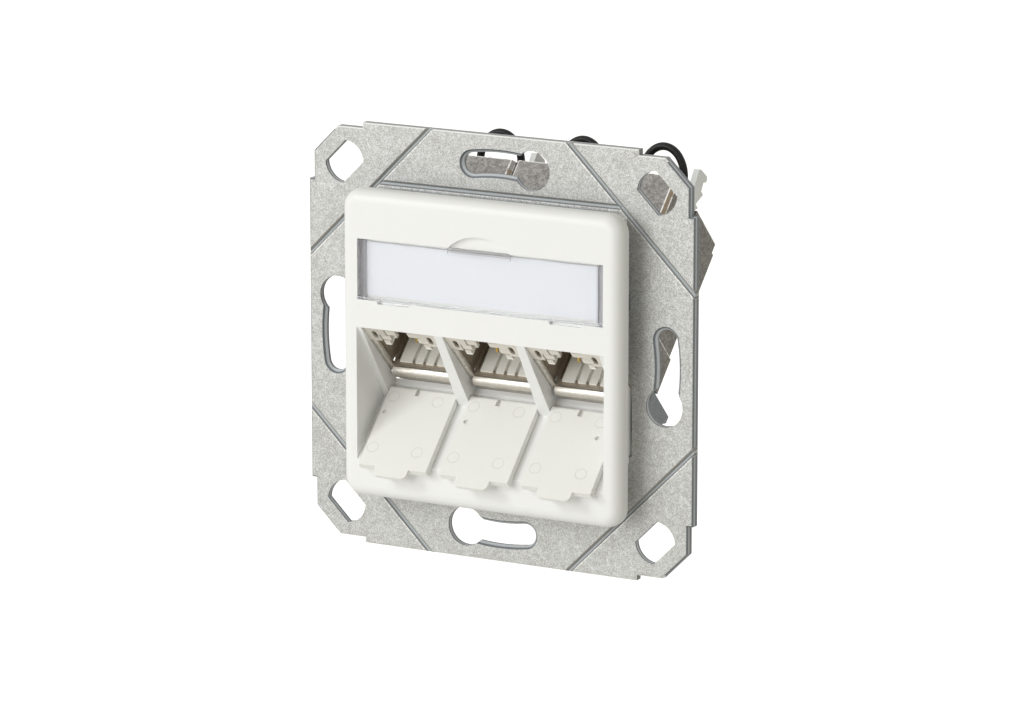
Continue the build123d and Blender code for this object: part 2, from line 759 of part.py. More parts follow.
def jack_contacts():
    """Eight spring contacts, from the board through the insert's back and steeply down to the comb."""
    end = board_d - seat_gap
    half = contact_size / 2
    run = contact_rise_d - contact_tip_d
    drop = contact_tip_w - contact_lift_w
    slant = math.hypot(run, drop)
    side_w, side_d = half * run / slant, half * drop / slant
    wires = []
    for i in range(contact_count):
        back = contact_outer_back if i in (0, contact_count - 1) else 0
        tip_d, rise_d = contact_tip_d + back, contact_rise_d + back
        points = [
            (contact_lift_w - half, end), (contact_lift_w + half, end),
            (contact_lift_w + half, rise_d + side_d), (contact_tip_w + side_w, tip_d + side_d),
            (contact_tip_w - side_w, tip_d - side_d), (contact_lift_w - half, rise_d - half),
        ]
        plane = Plane(origin=(0, 0, 0), x_dir=(0, 1, 0), z_dir=(1, 0, 0))
        wire = extrude(plane * make_face(Polyline(*points, close=True)), half, both=True)
        wires.append(Pos((i - (contact_count - 1) / 2) * contact_pitch, 0, 0) * wire)
    return wires


def circuit_board():
    return extrude(Pos(0, 0, board_d) * inner_outline(insert_fit), board_thickness)


def terminal_places():
    """Local (x, w) of the eight wire terminals, in two rows."""
    middle = (body_top_w + body_bottom_w) / 2
    places = []
    for row in range(terminal_rows):
        for i in range(terminal_row_count):
            places.append(((i - (terminal_row_count - 1) / 2) * terminal_pitch,
                           middle + (2 * row - 1) * terminal_row_w))
    return places


def terminal_block():
    """Plastic block with a slot for each terminal."""
    block = extrude(Pos(0, 0, block_d) * inner_outline(insert_fit), block_depth)
    for x, w in terminal_places():
        block -= jack_block(x - terminal_width / 2 - insert_fit, x + terminal_width / 2 + insert_fit,
                            w - block_slot, w + block_slot, block_d, block_d + block_depth)
    return block


def wire_terminals():
    """Forked terminal blades, one for each wire."""
    blades = []
    start = block_d - board_gap + seat_gap
    end = start + terminal_depth
    for x, w in terminal_places():
        blade = jack_block(x - terminal_width / 2, x + terminal_width / 2,
                           w - terminal_thickness / 2, w + terminal_thickness / 2, start, end)
        blade -= jack_block(x - terminal_fork / 2, x + terminal_fork / 2,
                            w - terminal_thickness, w + terminal_thickness, end - terminal_fork_depth, end)
        blades.append(blade)
    return blades


def wire_guide():
    """Plastic wire guide in the rear cap, bored for the cable."""
    guide = extrude(Pos(0, 0, guide_d) * inner_outline(insert_fit), guide_end_d - guide_d)
    return guide - Pos(0, port_hole_w, guide_end_d) * rod(guide_bore_radius, 2 * cap_end_d)


def ground_spring():
    """Leaf spring on top of a module, pressed by the carrier's window."""
    top = body_top_w
    points = [
        (top - seat_gap, spring_start_d), (top - seat_gap, spring_start_d + spring_length),
        (top - seat_gap - spring_sheet, spring_start_d + spring_length),
        (top - seat_gap - spring_sheet - spring_rise, spring_start_d + spring_length * 0.6),
        (top - seat_gap - spring_sheet - spring_rise, spring_start_d + spring_length * 0.45),
        (top - seat_gap - spring_sheet, spring_start_d + 1.0),
        (top - seat_gap - spring_sheet, spring_start_d),
    ]
    side = Plane(origin=(0, 0, 0), x_dir=(0, 1, 0), z_dir=(1, 0, 0))
    return extrude(side * make_face(Polyline(*points, close=True)), spring_width / 2, both=True)


def module_carrier():
    """Bent sheet: upright flange on the ring, sloping wall with three windows, side cheeks and feet."""
    sheet = carrier_sheet
    flange_back = ring_front - seat_gap
    flange_front = flange_back - sheet
    bend = section(carrier_top_w, carrier_d + sheet)
    roof_front = bend[0] - sheet / 4
    roof_z = bend[1] - sheet / 4
    wall = front_prism(Pos(0, (carrier_top_z + roof_z) / 2) * Rectangle(
        2 * carrier_flange_half, carrier_top_z - roof_z), flange_front, flange_back)
    roof = [(roof_front, roof_z), (flange_back, roof_z), (flange_back, roof_z + sheet), (roof_front, roof_z + sheet)]
    wall += side_prism(roof, -carrier_flange_half, carrier_flange_half)
    ear_middle = (carrier_ear_bottom + carrier_ear_top) / 2
    ears = Pos(0, ear_middle) * Rectangle(2 * carrier_ear_half, carrier_ear_top - carrier_ear_bottom)
    wall += front_prism(ears, flange_front, flange_back)
    slab = Pos(0, (carrier_top_w + carrier_bottom_w) / 2) * Rectangle(
        2 * carrier_half, carrier_bottom_w - carrier_top_w)
    slab = fillet(slab.vertices().group_by(Axis.Y)[-1], carrier_corner)
    height = mouth_bottom_w - mouth_top_w + 2 * carrier_window_gap
    width = module_width + 2 * carrier_window_gap
    for x in port_offsets:
        slab -= Pos(x, (mouth_top_w + mouth_bottom_w) / 2) * Rectangle(width, height)
    wall += jack_frame(0) * extrude(Pos(0, 0, carrier_d) * slab, sheet)
    web_back = ring_front + ring_web
    foot_y = web_back + seat_gap
    cheek_w = recess_back_w() + cheek_gap
    cheek_d = (foot_y - face_y - cheek_w * slope_sin) / slope_cos
    cheek_top = section(cheek_w, cheek_d)[1]
    cheek = [
        (foot_y, carrier_foot_bottom), section(carrier_bottom_w - 1.5, carrier_d + 0.2),
        section(cheek_w, carrier_d + 0.2), (foot_y, cheek_top),
    ]
    for side in (-1, 1):
        inner = side * (carrier_half - sheet)
        outer = side * carrier_half
        wall += side_prism(cheek, min(inner, outer), max(inner, outer))
        far = side * carrier_foot_half
        wall += side_prism([(foot_y, carrier_foot_bottom), (foot_y + sheet, carrier_foot_bottom),
                            (foot_y + sheet, cheek_top), (foot_y, cheek_top)],
                           min(inner, far), max(inner, far))
    for side in (-1, 1):
        wall -= rivet_hole(side)
    return wall


def rivet_hole(side):
    """Cutter for one rivet's hole through the ring and the carrier."""
    return Pos(side * rivet_x, 0, rivet_z) * Rot(-90, 0, 0) * rod(rivet_radius, 4 * ring_thickness)


def carrier_rivets():
    """Two rivets that hold the flange to the ring's web."""
    front = ring_front - seat_gap - carrier_sheet
    back = ring_front + ring_web
    length = back - front + rivet_head_height
    rivets = []
    for side in (-1, 1):
        shank = Pos(0, 0, length / 2) * rod(rivet_radius, length)
        head = Pos(0, 0, -rivet_head_height / 2) * rod(rivet_head_radius, rivet_head_height)
        tail = Pos(0, 0, back - front + rivet_head_height / 2) * rod(rivet_head_radius, rivet_head_height)
        rivets.append(Pos(side * rivet_x, front, rivet_z) * Rot(-90, 0, 0) * (shank + head + tail))
    return rivets


def save(node, shape):
    """Write one node; a list becomes a group of separate solids."""
    if isinstance(shape, list):
        shape = Compound(children=[solid for item in shape for solid in item.solids()])
    export_step(shape, os.path.join("parts", node + ".step"))


def main():
    os.makedirs("parts", exist_ok=True)
    ring = support_ring()
    rivets = carrier_rivets()
    for side in (-1, 1):
        ring -= rivet_hole(side)
    save("support_ring", ring)
    save("module_carrier", module_carrier())
    save("carrier_rivets", rivets)
    save("cover_plate", cover_plate())
    save("label_window", label_window())
    save("label_strip", label_strip())
    pieces = {
        "jack_housing": [jack_housing()],
        "rear_cap": [rear_cap()],
        "contact_insert": [contact_insert()],
        "jack_contacts": jack_contacts(),
        "circuit_board": [circuit_board()],
        "terminal_block": [terminal_block()],
        "wire_terminals": wire_terminals(),
        "wire_guide": [wire_guide()],
        "latch_strip": [latch_strip()],
        "ground_spring": [ground_spring()],
    }
    for index, name in enumerate(port_names):
        save("dust_flap_" + name, dust_flap(index))
        frame = jack_frame(port_offsets[index])
        save("strap_loop_" + name, frame * strap_loop(index))
        for piece, solids in pieces.items():
            save(piece + "_" + name, [frame * solid for solid in solids])


main()
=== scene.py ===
# %% [markdown]
# # A flush-mounted data outlet
# The object is a wall outlet with three network jacks. A square zinc-plated ring is screwed over a wall
# box, a white plastic plate clips into it, and three shielded jacks stand behind, their mouths facing down
# at 45 degrees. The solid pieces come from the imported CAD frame. This file dresses them: it adds the small
# relief that the solids leave out, gives every piece its finish, and lights it as in a product picture.

# %% Load the frame
import math

import bpy
import numpy as np
from mathutils import Matrix


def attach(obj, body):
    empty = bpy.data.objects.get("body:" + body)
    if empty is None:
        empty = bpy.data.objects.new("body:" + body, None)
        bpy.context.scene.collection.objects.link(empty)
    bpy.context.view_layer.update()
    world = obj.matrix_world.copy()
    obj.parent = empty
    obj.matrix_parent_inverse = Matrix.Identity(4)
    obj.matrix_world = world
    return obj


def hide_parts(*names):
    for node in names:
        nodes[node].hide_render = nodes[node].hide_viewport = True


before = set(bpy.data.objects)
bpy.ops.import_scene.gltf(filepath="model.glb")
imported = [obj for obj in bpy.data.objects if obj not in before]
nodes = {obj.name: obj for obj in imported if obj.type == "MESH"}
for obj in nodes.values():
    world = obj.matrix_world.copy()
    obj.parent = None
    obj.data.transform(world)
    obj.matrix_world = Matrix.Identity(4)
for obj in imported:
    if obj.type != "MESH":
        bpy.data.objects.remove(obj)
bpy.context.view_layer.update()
MM = 0.001
SIDES = ("left", "middle", "right")
PITCH = 14.7 * MM

# %% [markdown]
# ## Shared effects
# Some effects are used by more than one finish, so each is a node group with named inputs. A group reads a
# position on the object, in metres, and gives back a mask or a value. Building it once keeps the grain of
# all moulded pieces, or the speckle of all metal, at one true scale.

# %% Helpers for node trees


def wire(tree, source, target):
    """Join an output socket to an input socket."""
    tree.links.new(source, target)


def put(tree, kind, **values):
    """Add a shader node and set its sockets or settings by name."""
    node = tree.nodes.new("ShaderNode" + kind)
    for key, value in values.items():
        if hasattr(node, key):
            setattr(node, key, value)
        else:
            node.inputs[key.replace("_", " ")].default_value = value
    return node


def math_node(tree, operation, first, second=None, third=None, clamp=False):
    """One Math node; each operand is a number or an output socket. Returns its output."""
    node = tree.nodes.new("ShaderNodeMath")
    node.operation = operation
    node.use_clamp = clamp
    for index, operand in enumerate((first, second, third)):
        if operand is None:
            continue
        if isinstance(operand, (int, float)):
            node.inputs[index].default_value = operand
        else:
            wire(tree, operand, node.inputs[index])
    return node.outputs[0]


def new_group(name, inputs, outputs):
    """Empty shader node group with float or vector sockets. Returns (group, input node, output node)."""
    group = bpy.data.node_groups.new(name, "ShaderNodeTree")
    for label, kind, value in inputs:
        socket = group.interface.new_socket(name=label, in_out="INPUT", socket_type=kind)
        if value is not None:
            socket.default_value = value
    for label, kind in outputs:
        group.interface.new_socket(name=label, in_out="OUTPUT", socket_type=kind)
    return group, group.nodes.new("NodeGroupInput"), group.nodes.new("NodeGroupOutput")


# %% Grain: fine relief of moulded or rolled surfaces


def build_grain():
    """Height = noise(position * fine) * 0.6 + noise(position * coarse) * 0.4, both from 0 to 1."""
    group, given, result = new_group(
        "surface_grain",
        [("Position", "NodeSocketVector", None), ("Fine", "NodeSocketFloat", 4000.0),
         ("Coarse", "NodeSocketFloat", 900.0)],
        [("Height", "NodeSocketFloat")])
    fine = put(group, "TexNoise", Detail=3.0, Roughness=0.55)
    coarse = put(group, "TexNoise", Detail=2.0, Roughness=0.5)
    wire(group, given.outputs["Position"], fine.inputs["Vector"])
    wire(group, given.outputs["Position"], coarse.inputs["Vector"])
    wire(group, given.outputs["Fine"], fine.inputs["Scale"])
    wire(group, given.outputs["Coarse"], coarse.inputs["Scale"])
    part = math_node(group, "MULTIPLY", fine.outputs["Fac"], 0.6)
    total = math_node(group, "MULTIPLY_ADD", coarse.outputs["Fac"], 0.4, part)
    wire(group, total, result.inputs["Height"])
    return group


# %% Speckle: the mottled crystals of a zinc or nickel coat


def build_speckle():
    """Mask = smooth step of a warped noise, 0 on the plain coat and 1 on a crystal."""
    group, given, result = new_group(
        "coat_speckle",
        [("Position", "NodeSocketVector", None), ("Scale", "NodeSocketFloat", 1500.0),
         ("Low", "NodeSocketFloat", 0.45), ("High", "NodeSocketFloat", 0.62)],
        [("Mask", "NodeSocketFloat")])
    noise = put(group, "TexNoise", Detail=4.0, Roughness=0.62, Distortion=0.2)
    wire(group, given.outputs["Position"], noise.inputs["Vector"])
    wire(group, given.outputs["Scale"], noise.inputs["Scale"])
    step = put(group, "MapRange", interpolation_type="SMOOTHSTEP")
    wire(group, noise.outputs["Fac"], step.inputs["Value"])
    wire(group, given.outputs["Low"], step.inputs["From Min"])
    wire(group, given.outputs["High"], step.inputs["From Max"])
    wire(group, step.outputs["Result"], result.inputs["Mask"])
    return group


# %% Round marks: the witness rings that ejector pins leave


def build_round_mark():
    """Rim = 1 where the distance from the line Centre + t * Axis is within Line of Radius, near Centre only.

    Positions and sizes are in millimetres. Disc = 1 inside the rim.
    """
    group, given, result = new_group(
        "round_mark",
        [("Position", "NodeSocketVector", None), ("Centre", "NodeSocketVector", None),
         ("Axis", "NodeSocketVector", None), ("Radius", "NodeSocketFloat", 1.6),
         ("Line", "NodeSocketFloat", 0.1)],
        [("Rim", "NodeSocketFloat"), ("Disc", "NodeSocketFloat")])
    offset = put(group, "VectorMath", operation="SUBTRACT")
    wire(group, given.outputs["Position"], offset.inputs[0])
    wire(group, given.outputs["Centre"], offset.inputs[1])
    across = put(group, "VectorMath", operation="CROSS_PRODUCT")
    wire(group, offset.outputs[0], across.inputs[0])
    wire(group, given.outputs["Axis"], across.inputs[1])
    length = put(group, "VectorMath", operation="LENGTH")
    wire(group, across.outputs[0], length.inputs[0])
    along = put(group, "VectorMath", operation="DOT_PRODUCT")
    wire(group, offset.outputs[0], along.inputs[0])
    wire(group, given.outputs["Axis"], along.inputs[1])
    near = math_node(group, "LESS_THAN", math_node(group, "ABSOLUTE", along.outputs["Value"]), MARK_REACH)
    gap = math_node(group, "SUBTRACT", length.outputs["Value"], given.outputs["Radius"])
    ratio = math_node(group, "DIVIDE", math_node(group, "ABSOLUTE", gap), given.outputs["Line"])
    rim = math_node(group, "SUBTRACT", 1.0, ratio, clamp=True)
    disc = math_node(group, "LESS_THAN", gap, 0.0)
    wire(group, math_node(group, "MULTIPLY", rim, near), result.inputs["Rim"])
    wire(group, math_node(group, "MULTIPLY", disc, near), result.inputs["Disc"])
    return group


# %% Edge highlights: a painted highlight along a straight edge


def build_edge_line():
    """Mask = smooth fall from 1 on the line Point + t * Axis to 0 at Radius, in millimetres."""
    group, given, result = new_group(
        "edge_line",
        [("Position", "NodeSocketVector", None), ("Point", "NodeSocketVector", None),
         ("Axis", "NodeSocketVector", None), ("Radius", "NodeSocketFloat", 0.15)],
        [("Mask", "NodeSocketFloat")])
    offset = put(group, "VectorMath", operation="SUBTRACT")
    wire(group, given.outputs["Position"], offset.inputs[0])
    wire(group, given.outputs["Point"], offset.inputs[1])
    across = put(group, "VectorMath", operation="CROSS_PRODUCT")
    wire(group, offset.outputs[0], across.inputs[0])
    wire(group, given.outputs["Axis"], across.inputs[1])
    length = put(group, "VectorMath", operation="LENGTH")
    wire(group, across.outputs[0], length.inputs[0])
    step = put(group, "MapRange", interpolation_type="SMOOTHSTEP")
    wire(group, length.outputs["Value"], step.inputs["Value"])
    wire(group, given.outputs["Radius"], step.inputs["From Max"])
    step.inputs["To Min"].default_value = 1.0
    step.inputs["To Max"].default_value = 0.0
    wire(group, step.outputs["Result"], result.inputs["Mask"])
    return group


# %% Build the groups
MARK_REACH = 0.5
GRAIN = build_grain()
SPECKLE = build_speckle()
ROUND_MARK = build_round_mark()
EDGE_LINE = build_edge_line()
print("groups:", [g.name for g in bpy.data.node_groups])

# %% [markdown]
# ## Finishes
# Each finish is one Principled shader. The helper below starts it with a flat colour, and each finish then
# adds the surface's grain, crystals and pin marks, and painted light and shade: painted shade and highlights
# on cut walls, painted highlights along edges, and painted glints.

# %% Start of a finish


def start_finish(name, colour, roughness, metallic=0.0):
    """Material with one Principled shader. Returns (material, tree, shader, object-space position)."""
    material = bpy.data.materials.new(name)
    material.use_nodes = True
    tree = material.node_tree
    tree.nodes.clear()
    shader = put(tree, "BsdfPrincipled", Roughness=roughness, Metallic=metallic)
    shader.inputs["Base Color"].default_value = (*colour, 1.0)
    output = tree.nodes.new("ShaderNodeOutputMaterial")
    wire(tree, shader.outputs[0], output.inputs["Surface"])
    place = tree.nodes.new("ShaderNodeTexCoord")
    return material, tree, shader, place.outputs["Object"]


def add_group(tree, group, position, **values):
    """Place a shared group in a material, fed with the position."""
    node = tree.nodes.new("ShaderNodeGroup")
    node.node_tree = group
    wire(tree, position, node.inputs["Position"])
    for key, value in values.items():
        node.inputs[key].default_value = value
    return node


def two_tones(tree, mask, low, high):
    """Colour that runs from low to high with the mask; each may be a colour or an output socket."""
    mix = tree.nodes.new("ShaderNodeMix")
    mix.data_type = "RGBA"
    wire(tree, mask, mix.inputs["Factor"])
    for socket, colour in ((mix.inputs[6], low), (mix.inputs[7], high)):
        if isinstance(colour, tuple):
            socket.default_value = (*colour, 1.0)
        else:
            wire(tree, colour, socket)
    return mix.outputs[2]


def scale_range(tree, value, low, high, from_low=0.0, from_high=1.0):
    """Map a value from its own range, 0 to 1 if not given, onto low to high, and stop at both ends."""
    node = put(tree, "MapRange")
    wire(tree, value, node.inputs["Value"])
    for key, number in (("From Min", from_low), ("From Max", from_high), ("To Min", low), ("To Max", high)):
        node.inputs[key].default_value = number
    return node.outputs["Result"]


def band(tree, value, low, high, soft=0.03):
    """Mask of a value between low and high, with an edge as wide as soft."""
    rise = scale_range(tree, value, 0.0, 1.0, low - soft, low)
    fall = scale_range(tree, value, 1.0, 0.0, high, high + soft)
    return math_node(tree, "MULTIPLY", rise, fall)


def highest(tree, nodes, output):
    """Highest of one output over several nodes: a point inside any of their marks is inside the whole."""
    total = nodes[0].outputs[output]
    for node in nodes[1:]:
        total = math_node(tree, "MAXIMUM", total, node.outputs[output])
    return total


def stripes(tree, value, stops):
    """Colour bands along a value: each stop is (value, colour), with a straight blend from one to the next."""
    low, high = stops[0][0], stops[-1][0]
    ramp = put(tree, "ValToRGB")
    wire(tree, scale_range(tree, value, 0.0, 1.0, low, high), ramp.inputs["Fac"])
    elements = ramp.color_ramp.elements
    elements[0].color = (*stops[0][1], 1.0)
    elements[1].color = (*stops[-1][1], 1.0)
    for place, colour in stops[1:-1]:
        elements.new((place - low) / (high - low)).color = (*colour, 1.0)
    return ramp.outputs["Color"]


def relief(tree, shader, height, distance):
    """Bump the shader's normal with a height from 0 to 1 and a depth in metres."""
    bump = put(tree, "Bump", Strength=1.0, Distance=distance)
    wire(tree, height, bump.inputs["Height"])
    wire(tree, bump.outputs["Normal"], shader.inputs["Normal"])


# %% Places on the object, in millimetres


def in_mm(tree, position):
    """Object position scaled to millimetres."""
    node = put(tree, "VectorMath", operation="SCALE")
    wire(tree, position, node.inputs[0])
    node.inputs["Scale"].default_value = 1000.0
    return node.outputs[0]


def split(tree, vector):
    """The x, y and z outputs of a vector."""
    node = put(tree, "SeparateXYZ")
    wire(tree, vector, node.inputs[0])
    return node.outputs


def combine(tree, x, y, z):
    """Vector of three outputs."""
    node = put(tree, "CombineXYZ")
    for source, target in zip((x, y, z), node.inputs):
        wire(tree, source, target)
    return node.outputs[0]


FACE_Y, FACE_Z = -3.2705, -1.6695
HALF_TURN = math.sqrt(0.5)


def jack_place(tree, position):
    """Position in a jack's own frame, in millimetres: across, down its face (w), along its axis (d).

    All three jacks share one finish, so x is wrapped by the pitch. The face slopes by 45 degrees:
    w = (y - z) * sqrt(1/2) and d = (y + z) * sqrt(1/2), both counted from the middle of the face.
    """
    x, y, z = split(tree, in_mm(tree, position))
    half = PITCH / MM / 2
    across = math_node(tree, "WRAP", x, half, -half)
    deep = math_node(tree, "SUBTRACT", y, FACE_Y)
    high = math_node(tree, "SUBTRACT", z, FACE_Z)
    down = math_node(tree, "MULTIPLY", math_node(tree, "SUBTRACT", deep, high), HALF_TURN)
    along = math_node(tree, "MULTIPLY", math_node(tree, "ADD", deep, high), HALF_TURN)
    return across, down, along


# %% Moulded plastics


MOULD_GRAIN = {"Fine": 5000.0, "Coarse": 1200.0}
MOULD_CLOUD = {"Fine": 160.0, "Coarse": 60.0}
MOULD_SPREAD = 0.08


def shade(colour, factor):
    """The colour times a factor, with no channel above 1."""
    return tuple(min(1.0, channel * factor) for channel in colour)


def grain_polish(tree, shader, height, roughness):
    """Let the roughness follow the mould grain, within MOULD_SPREAD of its middle."""
    wire(tree, scale_range(tree, height, roughness - MOULD_SPREAD, roughness + MOULD_SPREAD, 0.3, 0.7),
         shader.inputs["Roughness"])


def moulded(name, colour, roughness, depth=0.00001):
    """Plastic with the fine grain of its mould: colour, roughness and relief follow one grain height."""
    material, tree, shader, position = start_finish(name, colour, roughness)
    grain = add_group(tree, GRAIN, position, **MOULD_GRAIN).outputs["Height"]
    cloud = add_group(tree, GRAIN, position, **MOULD_CLOUD).outputs["Height"]
    grain_polish(tree, shader, grain, roughness)
    mottle = math_node(tree, "MULTIPLY", math_node(tree, "ADD", grain, cloud), 0.5)
    wire(tree, two_tones(tree, mottle, shade(colour, 0.965), shade(colour, 1.02)), shader.inputs["Base Color"])
    relief(tree, shader, grain, depth)
    return material


# %% Warm pegs


def warm_pegs(material, colour):
    """Tint the pegs in the upper corners of a mouth, above PEG_W and before PEG_D, with the metal's tone."""
    tree = material.node_tree
    shader = tree.nodes["Principled BSDF"]
    plain = shader.inputs["Base Color"].links[0].from_socket
    place = tree.nodes.new("ShaderNodeTexCoord")
    _, down, along = jack_place(tree, place.outputs["Object"])
    pegs = math_node(tree, "MULTIPLY", math_node(tree, "LESS_THAN", down, PEG_W),
                     math_node(tree, "LESS_THAN", along, PEG_D))
    wire(tree, two_tones(tree, pegs, plain, colour), shader.inputs["Base Color"])


# %% Flap plastic with four pin marks


def flap_plastic(name, colour, roughness):
    """White plastic of the dust flaps: pin rings near each corner of the face that shows when open."""
    material, tree, shader, position = start_finish(name, colour, roughness)
    grain = add_group(tree, GRAIN, position, **MOULD_GRAIN).outputs["Height"]
    place = combine(tree, *jack_place(tree, position))
    marks = [add_group(tree, ROUND_MARK, place, Centre=(x, FLAP_FACE_W, d), Axis=ALONG_W,
                       Radius=FLAP_MARK_RADIUS, Line=0.13) for x, d in FLAP_PIN_MARKS]
    rim, disc = highest(tree, marks, "Rim"), highest(tree, marks, "Disc")
    plain = two_tones(tree, grain, shade(colour, 0.975), colour)
    wire(tree, two_tones(tree, math_node(tree, "MULTIPLY", rim, 0.35), plain, shade(colour, 0.72)),
         shader.inputs["Base Color"])
    grain_polish(tree, shader, grain, roughness)
    height = math_node(tree, "MULTIPLY_ADD", grain, 0.15,
                       math_node(tree, "MULTIPLY_ADD", disc, -0.5, math_node(tree, "MULTIPLY", rim, -0.35)))
    relief(tree, shader, height, 0.00007)
    return material


# %% Coated metals


CRYSTAL_LAYERS = ((0.25, 0.36, 0.66), (1.0, 0.4, 0.62), (4.2, 0.42, 0.58))


def crystals(tree, position, scale, shares=(0.25, 0.2, 0.55)):
    """Sum of three speckle masks: clouds, crystals and grain, each about four times finer than the last."""
    total = 0.0
    for share, (ratio, low, high) in zip(shares, CRYSTAL_LAYERS):
        layer = add_group(tree, SPECKLE, position, Scale=scale * ratio, Low=low, High=high).outputs["Mask"]
        total = math_node(tree, "MULTIPLY_ADD", layer, share, total)
    return total


def coated_metal(name, dark, light, roughness, scale, depth=0.00001):
    """Metal coat with crystals: colour, roughness and relief follow their mask."""
    material, tree, shader, position = start_finish(name, light, roughness, 1.0)
    mixed = crystals(tree, position, scale)
    wire(tree, two_tones(tree, mixed, dark, light), shader.inputs["Base Color"])
    wire(tree, scale_range(tree, mixed, roughness + 0.1, roughness - 0.08), shader.inputs["Roughness"])
    relief(tree, shader, mixed, depth)
    return material


# %% Zinc of the support ring


def zinc_finish(name, dark, light, roughness):
    """Die-cast zinc: mottled front with painted glints, cut walls painted with shade and highlights, painted
    highlights along the lips of grooves and rim, and pin marks.

    Masks use the folded position (|x|, |z|), because the ring is the same in its four quarters. A groove lies
    on |x| + |z| = CORNER_GROOVE across each corner and on |z| = LEVEL_GROOVE above and below the opening. The
    distances below and under are counted downwards from a groove, because the light comes from above: the
    painted highlights and painted shade of the grooves follow them.
    """
    material, tree, shader, position = start_finish(name, light, roughness, 0.3)
    x, y, z = split(tree, in_mm(tree, position))
    fold_x, fold_z = math_node(tree, "ABSOLUTE", x), math_node(tree, "ABSOLUTE", z)
    folded = combine(tree, fold_x, y, fold_z)

    # Front: crystals, and bright flecks that are painted glints.
    mixed = crystals(tree, position, 1150.0, (0.14, 0.2, 0.66))
    colour = two_tones(tree, mixed, dark, light)
    glint_fleck = add_group(tree, SPECKLE, position, Scale=2300.0, Low=0.66, High=0.72).outputs["Mask"]
    colour = two_tones(tree, math_node(tree, "MULTIPLY", glint_fleck, 0.6), colour, (0.88, 0.88, 0.86))

    # Distances from the grooves.
    downward = math_node(tree, "MULTIPLY", math_node(tree, "SIGN", z), -1.0)
    beyond = math_node(tree, "SUBTRACT", math_node(tree, "ADD", fold_x, fold_z), CORNER_GROOVE)
    across = math_node(tree, "MULTIPLY", beyond, HALF_TURN)
    level = math_node(tree, "SUBTRACT", fold_z, LEVEL_GROOVE)
    below = math_node(tree, "MULTIPLY", across, downward)
    under = math_node(tree, "MULTIPLY", level, downward)
    on_level = math_node(tree, "LESS_THAN", fold_x, LEVEL_HALF)

    # Painted highlight on the lower lips of each groove, where light from above would catch them, broken up by
    # the crystals.
    lip_highlight = math_node(tree, "MAXIMUM", band(tree, below, *GROOVE_HIGHLIGHT, 0.08),
                    math_node(tree, "MULTIPLY", band(tree, under, *GROOVE_HIGHLIGHT, 0.08), on_level))
    lip_highlight = math_node(tree, "MULTIPLY", lip_highlight, math_node(tree, "LESS_THAN", y, RING_FRONT + 0.05))
    broken = scale_range(tree, mixed, 0.3, 1.0, 0.2, 0.7)
    colour = two_tones(tree, math_node(tree, "MULTIPLY", lip_highlight, broken), colour, (0.95, 0.95, 0.93))

    # Faint pin marks.
    marks = [add_group(tree, ROUND_MARK, folded, Centre=(mark_x, RING_FRONT, mark_z), Axis=ALONG_Y,
                       Radius=RING_MARK_RADIUS, Line=0.16) for mark_x, mark_z in RING_PIN_MARKS]
    rims = highest(tree, marks, "Rim")
    ghost = math_node(tree, "MULTIPLY", rims, scale_range(tree, mixed, 0.08, 0.42, 0.15, 0.7))
    colour = two_tones(tree, ghost, colour, (0.86, 0.86, 0.84))

    # Cut walls, from just behind the front to just before the back. Their tones are painted light and shade: a
    # painted highlight along the top bevel of the rim and on the lower side of each groove, and dark blue-grey
    # painted shade on the rest of the walls.
    rim = math_node(tree, "GREATER_THAN", math_node(tree, "MAXIMUM", fold_x, fold_z), RIM_SIDE)
    rim = math_node(tree, "MAXIMUM", rim, math_node(tree, "GREATER_THAN", across, RIM_ACROSS))
    wall_end = math_node(tree, "MULTIPLY_ADD", rim, WEB_BACK - RIM_BACK, -WEB_BACK)
    cut = math_node(tree, "MULTIPLY", scale_range(tree, y, 0.0, 1.0, RING_FRONT + 0.02, RING_FRONT + 0.1),
                    math_node(tree, "LESS_THAN", y, wall_end))
    at_top = math_node(tree, "GREATER_THAN", fold_z, TOP_WALL_Z)
    wall_shading = two_tones(tree, at_top, stripes(tree, y, SIDE_WALL_SHADING), stripes(tree, y, TOP_WALL_SHADING))
    in_corner = band(tree, across, -GROOVE_HALF, GROOVE_HALF, 0.02)
    in_level = math_node(tree, "MULTIPLY", band(tree, level, -GROOVE_HALF, GROOVE_HALF, 0.02), on_level)
    wall_shading = two_tones(tree, in_level, wall_shading, stripes(tree, under, GROOVE_WALL_SHADING))
    wall_shading = two_tones(tree, in_corner, wall_shading, stripes(tree, below, GROOVE_WALL_SHADING))
    grain = scale_range(tree, mixed, 0.82, 1.0)
    colour = two_tones(tree, math_node(tree, "MULTIPLY", cut, grain), colour, wall_shading)
    wire(tree, colour, shader.inputs["Base Color"])
    polish = math_node(tree, "SUBTRACT", mixed, math_node(tree, "MULTIPLY", cut, 0.4))
    wire(tree, scale_range(tree, polish, roughness + 0.1, roughness - 0.1), shader.inputs["Roughness"])
    relief(tree, shader, math_node(tree, "MULTIPLY_ADD", rims, 0.5, mixed), 0.000014)
    return material


# %% Nickel of the jacks


